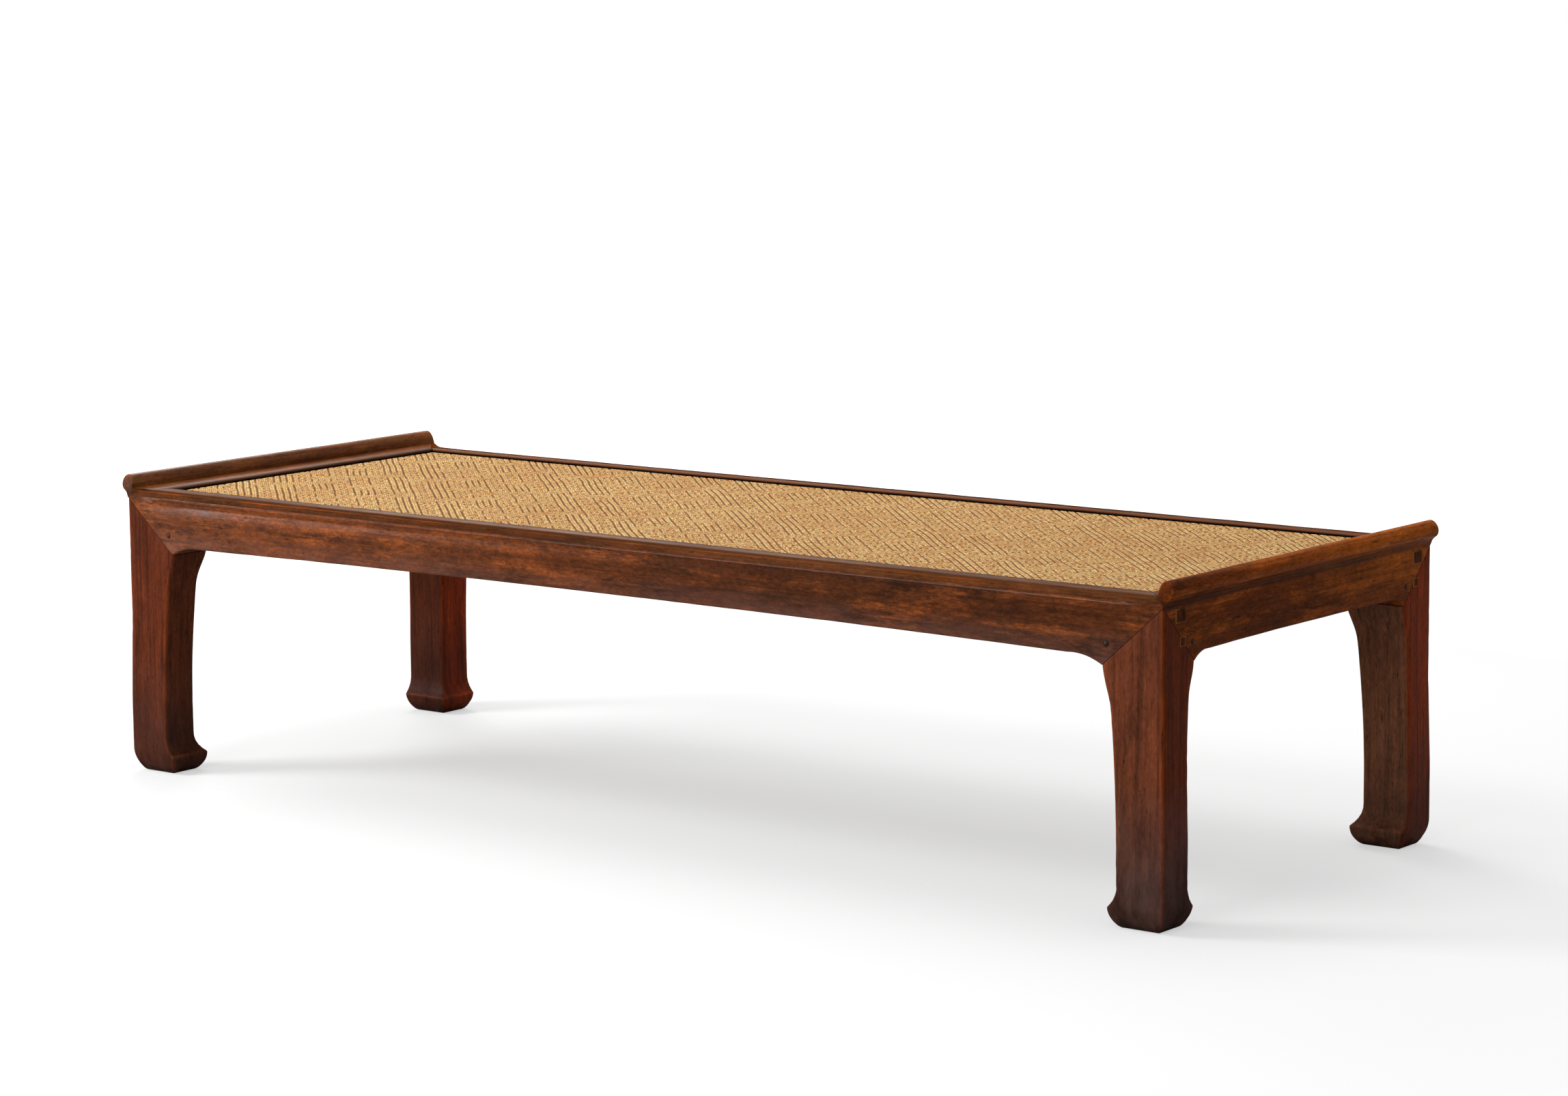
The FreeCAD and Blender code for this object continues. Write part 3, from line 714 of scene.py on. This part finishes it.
def lacquer(
    name, grain, seed, dark, mid, warm, pale, haze,
    warmth=0.5, rub=1.0, veil=None, smudge=0.5, mottled=1.0, painted_face_light=None,
):
    """Old brown lacquer over open grain: dark and orange streaks, pores, smudges and worn edges.

    haze is the strength of the reflection. warmth moves the orange glow, rub scales the worn edges
    and their painted highlights, smudge the dark smudges and mottled the blotches. veil is (high, low,
    share): from the first height down to the second the colour turns to a dull purple-grey by the share.
    The last argument paints light and shade by facing: the tint of most faces, then that of the faces
    that look along +X.
    """
    t = Tree(name)
    shift = (seed * 3.1, seed * 1.7, seed * 2.3)
    scales = (0.0175, 0.05, 0.164, 0.316, 0.45, 1.0)
    longer, along, wisps, loose, spread, even = (t.drawn(grain, scale, shift) for scale in scales)
    bands = t.noise(along, 13.0, 4.0, 0.55, 0.3)
    streaks = t.noise(along, 60.0, 7.0, 0.68, 0.2)
    fine = t.noise(longer, 210.0, 4.0, 0.6)
    pores = t.noise(wisps, 330.0, 3.0, 0.6)
    mottle = t.noise(wisps, 44.0, 8.0, 0.75)
    broad = t.noise(loose, 3.2, 3.0, 0.5)
    patches = t.noise(loose, 9.0, 4.0, 0.6)
    blots = t.noise(loose, 30.0, 9.0, 0.78)
    blotch = t.noise(spread, 55.0, 5.0, 0.7)
    grit = t.noise(spread, 240.0, 3.0, 0.8)
    base = t.mix(t.ramp(bands, (0.32, 0), (0.62, 1)), t.mix(0.45, dark, mid), mid)
    glow = t.ramp(broad, (0.62 - 0.3 * warmth, 0), (0.80 - 0.3 * warmth, 1))
    base = t.mix(t.product(glow, t.ramp(streaks, (0.30, 0.35), (0.62, 1))), base, warm)
    base = t.mix(t.ramp(mottle, (0.50, 0), (0.66, 0.75 * mottled)), base, t.mix(0.5, warm, times(warm, 1.5)))
    base = t.mix(t.ramp(streaks, (0.48, 0), (0.66, 0.5)), base, times(dark, 0.8))
    base = t.scaled(base, blotch, 0.18, 1 - 0.4 * mottled, 1 + 0.45 * mottled)
    base = t.scaled(base, grit, 0.16, 1 - 0.5 * mottled, 1 + 0.55 * mottled)
    base = t.mix(t.ramp(fine, (0.48, 0), (0.68, 0.55)), base, times(dark, 0.6))
    smudges = t.ramp(blots, (0.60 - 0.06 * smudge, 0), (0.64 - 0.06 * smudge, 1))
    smudges = t.product(smudges, t.ramp(patches, (0.42, 0.15), (0.60, 1)))
    base = t.mix(t.product(smudges, 0.8 * mottled), base, times(dark, 0.45))
    base = t.mix(t.ramp(pores, (0.62, 0), (0.68, 0.7)), base, times(dark, 0.25))
    # Painted light and shade by facing: faces that look along +X take the second tint, all other faces the
    # first.
    if painted_face_light:
        facing = t.span(t.part(t.spot["Normal"], "X"), 0.25, 0.75)
        base = t.mix(1.0, base, t.mix(facing, *painted_face_light), "MULTIPLY")
    if veil:
        high, low, share = veil
        height = t.math("ADD", t.part(t.place, "Z"), t.product(patches, 0.04))
        depth = t.span(height, (high + 20) * MM, (low + 20) * MM, 0.0, share)
        grey = t.mix(t.ramp(blots, (0.4, 0), (0.6, 1)), tone(104, 80, 74), tone(58, 42, 40))
        base = t.mix(depth, base, grey)
    # The wear value holds worn edges together with the painted highlights beside the joints, round the lips'
    # caps, on the strips' edges and along the toes' ridges.
    wear, darkening = t.attribute("wear"), t.attribute("dark")
    worn = t.product(wear, t.ramp(blots, (0.40, rub), (0.62, 0.15 * rub)))
    base = t.mix(worn, base, t.mix(streaks, pale, times(pale, 0.6)))
    scattered = t.add("TexVoronoi", Vector=even, Scale=62.0).outputs["Distance"]
    chips = t.ramp(scattered, (0.0, 1), (0.05, 0))
    base = t.mix(t.product(chips, 0.4), base, times(pale, 1.5))
    # Near black where the dark value is high: joint lines, a stain on the legs, a stain with painted shade at
    # their soles, and painted shade in the lips' coves and creases and on the long rails' shoulders.
    base = t.mix(darkening, base, (0.006, 0.003, 0.002))
    matt = t.product(t.math("MAXIMUM", wear, darkening), 0.3)
    roughness = t.math("ADD", t.span(mottle, 0.3, 0.7, 0.21, 0.36), matt)
    normal = t.bump(t.noise(along, 90.0, 6.0, 0.6), 0.0007, 0.45)
    normal = t.bump(pores, 0.0004, 0.35, Normal=normal)
    normal = t.bump(t.product(chips, -1.0), 0.0006, 0.6, Normal=normal)
    normal = t.bump(mottle, 0.0015, 0.25, Normal=normal)
    return t.finish(base, roughness, normal, haze)


def plain_wood(name, grain, seed, deep, pale, gloss):
    """Wood with straight grain and at most a thin finish."""
    t = Tree(name)
    along = t.drawn(grain, 0.05, (seed, seed * 2.0, seed * 3.0))
    streaks = t.noise(along, 40.0, 8.0, 0.62, 0.3)
    fine = t.noise(along, 190.0, 4.0, 0.6)
    base = t.mix(t.ramp(streaks, (0.35, 0), (0.68, 1)), deep, pale)
    base = t.mix(t.ramp(fine, (0.45, 0), (0.75, 0.5)), base, times(deep, 0.4))
    return t.finish(base, t.span(streaks, 0.3, 0.7, gloss, gloss + 0.15), t.bump(fine, 0.0006, 0.4), 0.2)


def strip_material(name, grain, seed):
    """Grey-brown polished strip, bright orange where its inner edge is worn, which also paints a highlight
    there, and near black at its joints and in painted shadow under its crown.
    """
    t = Tree(name)
    along = t.drawn(grain, 0.05, (seed, seed * 2.0, seed * 3.0))
    streaks = t.noise(along, 90.0, 6.0, 0.62, 0.3)
    clouds = t.noise(t.place, 12.0, 4.0, 0.6)
    base = t.mix(t.ramp(streaks, (0.36, 0), (0.66, 1)), tone(50, 32, 22), tone(104, 72, 50))
    base = t.mix(t.ramp(clouds, (0.4, 0), (0.7, 0.5)), base, tone(86, 54, 36))
    rub_and_glint = t.mix(streaks, tone(168, 84, 42), tone(206, 122, 72))
    base = t.mix(t.product(t.attribute("wear"), 0.9), base, rub_and_glint)
    # Near black where the dark value is high: the joints at the ends and painted shadow under the crown.
    base = t.mix(t.attribute("dark"), base, (0.004, 0.003, 0.002))
    return t.finish(base, t.span(clouds, 0.3, 0.7, 0.45, 0.58), t.bump(streaks, 0.0004, 0.3), 0.05)


def cane_material():
    """Split cane. The mesh says which strand is on top at each crossing, and how much painted shade lies on
    its float's ends and beside the strips, with a few dark specks.
    """
    t = Tree("cane")
    over, ends, tint = t.add("SeparateColor", Color=t.attribute("weave", "Color")).outputs
    share_x, share_y = t.math("FRACT", t.attribute("column")), t.math("FRACT", t.attribute("row"))
    under = t.math("SUBTRACT", 1.0, over)
    across = t.math("ADD", t.product(share_y, over), t.product(share_x, under))
    from_middle = t.math("ABSOLUTE", t.math("SUBTRACT", t.product(across, 2.0), 1.0))
    edge = t.span(t.math("SUBTRACT", 1.0, from_middle), 0.0, 0.4)
    base = t.mix(t.ramp(tint, (0.2, 0), (0.62, 1)), tone(196, 118, 46), tone(255, 222, 150))
    fibre = t.noise(t.place, 700.0, 3.0)
    base = t.mix(t.ramp(fibre, (0.35, 0), (0.7, 0.45)), base, tone(168, 118, 66))
    clouds = t.noise(t.place, 6.0, 5.0, 0.6)
    base = t.mix(t.ramp(clouds, (0.38, 0), (0.72, 0.35)), base, tone(196, 132, 66))
    base = t.scaled(base, t.noise(t.place, 210.0, 3.0, 0.8), 0.16, 0.74, 1.8)
    # Painted shade between neighbouring strands, then the painted shade at the float ends and beside the
    # strips.
    base = t.mix(t.math("SUBTRACT", 1.0, edge), base, tone(150, 92, 40))
    base = t.mix(ends, base, tone(82, 44, 16))
    height = t.math("SUBTRACT", edge, t.product(ends, 1.4))
    return t.finish(base, 0.65, t.bump(height, 0.0014, 1.0), 0.08)


# Weave
tile, plan = 18, 8
row_tiles = {0: (0, 1, 2, 3, 4, 5), 2: (3, 4, 5, 6, 7, 0), 4: (2, 3), 6: (5, 6)}
column_tiles = {1: (1, 2, 3, 4, 5), 7: (4, 5, 6, 7, 0), 5: (3, 4), 3: (6, 7)}


def weave_phase(i, j):
    """Place in the twill's round of six at a crossing: under 3 the strand along X is on top.

    The seat is laid out on diagonals in tiles of eighteen crossings, in a plan of eight by eight
    tiles. Most tiles are nested lozenges, and the rest are bars of straight twill, which draw the
    frets across the seat.
    """
    u, v = i + j, i - j - 6
    m, n = np.floor(u / tile + 0.5), np.floor(v / tile + 0.5)
    phase = np.maximum(np.abs(u - tile * m), np.abs(v - tile * n)) - 3
    m, n = np.mod(m, plan), np.mod(n, plan)
    for row, places in row_tiles.items():
        phase = np.where((n == row) & np.isin(m, places), v + 9, phase)
    for column, places in column_tiles.items():
        phase = np.where((m == column) & np.isin(n, places), u + 3, phase)
    return np.mod(phase, 6)


def cane_mat():
    """The woven seat, one face to each crossing, let down a little where the strips hold it."""
    open_x, open_y = end_face - strip_in - strip_width, long_face - strip_in - strip_width
    half_x, half_y = open_x + tucked, open_y + tucked
    i0, i1 = math.ceil((-half_x - weave_x) / pitch_x), math.floor((half_x - weave_x) / pitch_x)
    j0, j1 = math.ceil((weave_y - half_y) / pitch_y), math.floor((weave_y + half_y) / pitch_y)
    i, j = np.meshgrid(np.arange(i0, i1 + 1), np.arange(j0, j1 + 1), indexing="ij")
    x, y = weave_x + pitch_x * i, weave_y - pitch_y * j
    to_edge = np.minimum(open_x - np.abs(x), open_y - np.abs(y))
    corner_phase = weave_phase(i - 0.5, j - 0.5)
    from_start = np.minimum(corner_phase, 6 - corner_phase)
    dip = np.clip(1 - from_start, 0, 1)
    z = seat_z - 0.25 - 1.1 * dip - 0.6 * (1 + rough(x, y, 210, 31)) * smooth(to_edge / 60)
    z = z - 1.5 * np.clip(1 - to_edge / 4.0, 0, 1) - 0.12 * hashed(i, j, 5)
    loose = 2.0 * smooth(to_edge / 40)
    x, y = x + loose * rough(x, y, 60, 33), y + loose * rough(x, y, 60, 34)
    points = np.stack([x, y, z], -1).reshape(-1, 3) * MM
    number = np.arange(i.size).reshape(i.shape)
    corners = np.stack([number[:-1, :-1], number[:-1, 1:], number[1:, 1:], number[1:, :-1]], -1)
    corners = corners.reshape(-1, 4)
    mesh = bpy.data.meshes.new("cane_seat")
    mesh.from_pydata(points.tolist(), [], corners.tolist())
    mesh.polygons.foreach_set("use_smooth", np.ones(len(corners), bool))
    ci, cj = i[:-1, :-1].ravel(), j[:-1, :-1].ravel()
    phase = weave_phase(ci, cj)
    over = (phase < 3).astype(float)
    strand = np.where(over > 0.5, hashed(cj, 0 * cj, 3), hashed(ci, 0 * ci, 4))
    start_x, start_y = (ci - phase).astype(np.int64), (cj + phase).astype(np.int64)
    float_tone = np.where(over > 0.5, hashed(start_x, cj, 6), hashed(ci, start_y, 7))
    tint = 0.35 * strand + 0.65 * float_tone
    # Painted shade where strands dip under at the ends of their floats: full at the start of the twill's
    # round, weaker at its middle and on each crossing's own end. A few crossings get random dark specks.
    first = np.clip(1.55 - from_start, 0, 1)
    second = 0.6 * np.clip(1.1 - np.abs(corner_phase - 3), 0, 1)
    float_end_shade = np.maximum(first, second).ravel()[corners]
    own_end_shade = np.clip(1.1 - np.minimum(phase, 6 - phase), 0, 1)[:, None]
    # Painted shadow on the seat where it runs under the strips.
    shadow_under_strip = np.clip(1.25 - np.minimum(to_edge, 4).ravel()[corners] / 2.6, 0, 1)
    ends = np.maximum(0.95 * float_end_shade + 0.1 * own_end_shade, shadow_under_strip)
    speck = np.where(hashed(ci, cj, 9) > 0.9, 0.6 * hashed(ci, cj, 10), 0.0)[:, None]
    ends = np.clip(np.maximum(ends, speck), 0, 1)
    whole = np.ones_like(ends)
    colour = np.stack([over[:, None] * whole, ends, tint[:, None] * whole, whole], -1)
    for label, count in (("column", i - i0), ("row", j - j0)):
        layer = mesh.attributes.new(label, "FLOAT", "POINT")
        layer.data.foreach_set("value", count.astype(np.float32).ravel())
    layer = mesh.color_attributes.new("weave", "FLOAT_COLOR", "CORNER")
    layer.data.foreach_set("color", colour.astype(np.float32).ravel())
    return new_object("cane_seat", mesh)


def cord_net():
    """Net of palm cords under the seat, woven over and under."""
    half_x, half_y = end_face - webbing_in - 0.5, long_face - webbing_in - 0.5
    middle = (ledge_z + webbing_z) / 2
    parts = []

    def cords(count, crossings, half_run, half_span, along_x):
        """Cords side by side, each a six-sided tube that waves over and under the others."""
        steps = 2 * (crossings + 1)
        run = np.linspace(-half_run, half_run, steps + 1)
        for n, place in enumerate(np.linspace(-half_span, half_span, count + 2)[1:-1]):
            lift = 0.9 * np.sin(np.pi * (np.arange(steps + 1) / 2 + n + (0 if along_x else 1)) + np.pi / 2)
            sway = place + 0.8 * rough(run, run * 0 + place, 70, 40 + n)
            points = []
            for k in range(steps + 1):
                for s in range(6):
                    a = 2 * math.pi * s / 6 + 0.5 * k
                    across = sway[k] + cord_radius * math.cos(a)
                    z = middle + lift[k] + cord_radius * math.sin(a)
                    points.append((run[k], across, z) if along_x else (across, run[k], z))
            parts.append((points, tube_faces(steps + 1, 6)))

    cords(27, 84, half_x, half_y, True)
    cords(84, 27, half_y, half_x, False)
    return joined("cord_net", parts)


def stretcher(number, x):
    """Cross stretcher that dips in the middle, with rounded edges."""
    half_width, half_height, corner = 18.5, 13, 4
    outline = []
    for a, b, first in ((1, 1, 0), (-1, 1, 90), (-1, -1, 180), (1, -1, 270)):
        for k in range(5):
            angle = math.radians(first + 22.5 * k)
            u, v = corner * math.cos(angle), corner * math.sin(angle)
            outline.append((a * half_width + u, b * half_height + v))
    u, v = np.array(outline).T
    reach = long_face - rail_width - 0.2
    rings = []
    for y in np.linspace(-reach, reach, 61):
        middle = stretcher_z - stretcher_dip * (1 - (y / reach) ** 2)
        scale = 1 + 0.25 * rough(y + u, v + x, 30, 77) / 30
        rings.append(np.stack([x + u * scale, 0 * u + y, middle + v * scale], 1))
    item = mesh_object("stretcher_%d" % number, np.concatenate(rings), tube_faces(61, len(outline)))
    crease(item, 50)
    put(item, bare_wood, "cross_stretcher_%d" % number)


# Materials
dark, pale = tone(44, 22, 8), tone(186, 84, 24)
brown = (dark, tone(88, 44, 17), tone(138, 69, 22), pale)
golden = (dark, tone(116, 66, 28), tone(156, 96, 38), pale)
orange = (tone(48, 19, 4), tone(116, 54, 13), tone(176, 92, 24), pale)
# Darker, duller tones for the long rails' shoulders: painted shade, so that the upward-facing top stays as
# dark as the face.
dull = (dark, tone(66, 42, 27), tone(94, 58, 34), tone(206, 98, 30))
cut = (tone(40, 16, 4), tone(84, 38, 12), tone(110, 54, 18), tone(200, 140, 84))
leg_tones = (times(dark, 1.3), tone(112, 50, 22), tone(138, 60, 22))
veil = (414, 376, 0.45)
wood_front = lacquer("lacquer_front", "x", 3, *brown, 0.11, veil=veil, smudge=0.7, mottled=0.9)
wood_back = lacquer("lacquer_back", "x", 8, *brown, 0.15, warmth=0.45, smudge=0.6, mottled=0.7)
# The left rail's tones are lighter and more golden than the others: painted light on its lip's inner face,
# which looks away from the key lamp.
wood_left = lacquer("lacquer_left", "y", 5, *golden, 0.16, warmth=0.6, rub=0.5, smudge=0.4, mottled=0.5)
wood_right = lacquer("lacquer_right", "y", 6, *orange, 0.03, rub=0.5, mottled=0.6)
# The shoulders' lacquer, in the darker tones of painted shade and without reflection.
wood_shoulder = lacquer("lacquer_shoulder", "x", 9, *dull, 0.0, mottled=0.5)

# For each leg: the depth of its tones, which paints the left-hand legs darker as painted shade, the veil on
# its foot, and the tints of its other faces and of +X, which are painted light and shade
leg_looks = {
    "front_left": (0.52, 0.25, (1.05, 1.15, 1.9), (1.2, 1.6, 2.8)),
    "front_right": (1.0, 0.7, (1.0, 1.35, 2.5), (0.85, 0.65, 0.4)),
    "back_left": (0.42, 0.15, (0.95, 1.05, 1.7), (4.0, 2.4, 1.2)),
    "back_right": (1.06, 0.25, (1.1, 2.2, 5.0), (1.05, 0.75, 0.4)),
}
leg_woods = {}
for number, (corner, (depth, share, *face_light_tints)) in enumerate(leg_looks.items()):
    tones = [times(colour, depth) for colour in leg_tones]
    leg_woods[corner] = lacquer(
        "lacquer_leg_" + corner, "z", 11 + number, *tones, pale, 0.04,
        warmth=0.6, rub=0.4, veil=(210, 60, share), smudge=0.3, mottled=0.4, painted_face_light=face_light_tints,
    )
peg_wood = plain_wood("peg_wood", "z", 2, tone(38, 20, 12), tone(84, 48, 28), 0.4)
peg_ring = plain_wood("peg_ring", "z", 2, tone(12, 7, 5), tone(22, 13, 8), 0.6)
bare_wood = plain_wood("bare_wood", "y", 4, tone(120, 84, 54), tone(178, 136, 92), 0.6)
bamboo = plain_wood("bamboo", "z", 6, tone(96, 68, 42), tone(140, 104, 66), 0.45)
palm_fibre = plain_wood("palm_fibre", "x", 7, tone(92, 60, 36), tone(150, 104, 62), 0.75)
tenon_wood = lacquer("tenon_wood", "z", 21, *cut, 0.02)

# Frame, from each side's name, kind of rail and direction
sides = (("front", "long", -1), ("back", "long", 1), ("left", "end", -1), ("right", "end", 1))
rail_woods = (wood_front, wood_back, wood_left, wood_right)
for number, side in enumerate(sides):
    rail_object(*side, rail_woods[number], 101 * (number + 1))
for number, (corner, material) in enumerate(leg_woods.items()):
    leg(corner, material, 500 + 20 * number)

# Strips, net, seat and stretchers
# How far each strip's inner edge turns orange: wear, and a painted highlight on its rounding.
strip_rubs_and_glints = (0.0, 0.35, 0.1, 0.2)
for number, (side, kind, sign) in enumerate(sides):
    material = strip_material("strip_" + side, "x" if kind == "long" else "y", number + 1)
    strip(side, kind, sign, material, 61 + number, strip_rubs_and_glints[number])
seat = cane_mat()
put(seat, cane_material(), "cane_mat")
put(cord_net(), palm_fibre, "palm_webbing")
for number, x in ((1, -500), (2, 0), (3, 500)):
    stretcher(number, x)

# Pegs, each a dark ring and a head, and the wood of the construction's own pins
for side, kind, sign in sides:
    along, z, axis = (peg_x, 395, (0, sign, 0)) if kind == "long" else (peg_y, 396, (sign, 0, 0))
    centres = placed(np.array([(-along, 0, z), (along, 0, z)]), kind, sign)
    for part, material, radius, height in (("rings", peg_ring, 5.2, 1.7), ("heads", peg_wood, 3.6, 2.3)):
        discs = [disc(centre, axis, radius, height, k) for k, centre in enumerate(centres)]
        put(joined("peg_%s_%s" % (part, side), discs), material, "corner_pegs_" + side)
    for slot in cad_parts["strip_pins_" + side].material_slots:
        slot.material = bamboo

# Ends of the tenons, which start at v, each in a dark gap: a wide one above a small one
for side, sign, v in (("front", -1, 30.0), ("back", 1, 25.5)):
    ends, gaps = [], []
    for x_side in (1, -1):
        for inset, z, width, height in ((v + 13.5, 436, 27, 20), (v + 19, 399.5, 15, 14)):
            centre, axis = (x_side * end_face, sign * (long_face - inset), z), (x_side, 0, 0)
            gaps.append(plate(centre, axis, (width + 1.2, height + 1.2), 0.12, 0.3))
            ends.append(plate(centre, axis, (width - 0.8, height - 0.8), 0.7, 1.4))
    put(joined("tenon_gaps_" + side, gaps), peg_ring, "long_rail_" + side)
    worn = np.repeat([0.0, 1.0, 0.7, 0.0] * 4, 24)
    put(joined("tenon_ends_" + side, ends, wear=worn), tenon_wood, "long_rail_" + side)

scene = bpy.context.scene
scene.view_settings.view_transform = "Standard"

# Camera, from the photograph's own perspective
camera = new_object("camera", bpy.data.cameras.new("camera"))
camera.data.sensor_width = 36.0
camera.data.lens = 97.957
camera.matrix_world = Matrix.Translation((4.06387, -5.14047, 1.37132))
for angle, axis in ((0.66045, "Z"), (math.pi / 2 - 0.14633, "X"), (-0.00891, "Z")):
    camera.matrix_world = camera.matrix_world @ Matrix.Rotation(angle, 4, axis)
scene.camera = camera

# Floor, which fades to white away from the bed
floor_mesh = bpy.data.meshes.new("floor")
corners = [(-7, -7, -0.0005), (7, -7, -0.0005), (7, 9, -0.0005), (-7, 9, -0.0005)]
floor_mesh.from_pydata(corners, [], [(0, 1, 2, 3)])
floor = new_object("floor", floor_mesh)
paper = Tree("floor_paper")
for name, value in (("Base Color", (0.38, 0.38, 0.38, 1)), ("Roughness", 1.0), ("Specular IOR Level", 0.0)):
    paper.shader.inputs[name].default_value = value
away = paper.add("VectorMath", Vector=paper.place)
away.operation = "LENGTH"
fade = paper.span(away.outputs["Value"], 1.9, 4.0, 0.52, 1.0)
seen = paper.add("LightPath").outputs["Is Camera Ray"]
glow = paper.add("Emission", Color=(1, 1, 1, 1), Strength=paper.product(seen, fade))
total = paper.add("AddShader")
paper.links.new(paper.shader.outputs[0], total.inputs[0])
paper.links.new(glow.outputs[0], total.inputs[1])
paper.links.new(total.outputs[0], paper.nodes["Material Output"].inputs["Surface"])
floor.data.materials.append(paper.owner)

# White surroundings, which light the bed a little from above
sky = Tree("surroundings", bpy.data.worlds, "Background")
scene.world = sky.owner
level = sky.span(sky.part(sky.spot["Generated"], "Z"), 0.0, 0.7, 0.14, 0.62)
seen = sky.add("LightPath").outputs["Is Camera Ray"]
sky.shader.inputs["Color"].default_value = (1, 1, 1, 1)
sky.set(sky.shader.inputs["Strength"], sky.span(seen, 0.0, 1.0, level, 1.0))

# Large square lamps: name, place, aim, size and power
for name, place, aim, size, power in (
    ("key", (-3.8, -2.9, 3.6), (0, 0, 0.3), 1.8, 205),
    ("front", (0.6, -7.0, 3.2), (0, 0, 0.3), 3.0, 160),
    ("back", (-3.6, 2.7, 3.6), (0, 0, 0.4), 1.8, 90),
    ("low", (-3.1, -2.45, 0.8), (-0.9, -0.3, 0.4), 0.36, 24),
    ("top", (-0.3, 0.4, 3.6), (0, 0, 0.4), 2.4, 54),
):
    lamp = new_object(name, bpy.data.lights.new(name, "AREA"))
    lamp.data.shape = "SQUARE"
    lamp.data.size = size
    lamp.data.energy = power
    lamp.location = place
    lamp.rotation_mode = "QUATERNION"
    lamp.rotation_quaternion = (Vector(aim) - Vector(place)).to_track_quat("-Z", "Y")
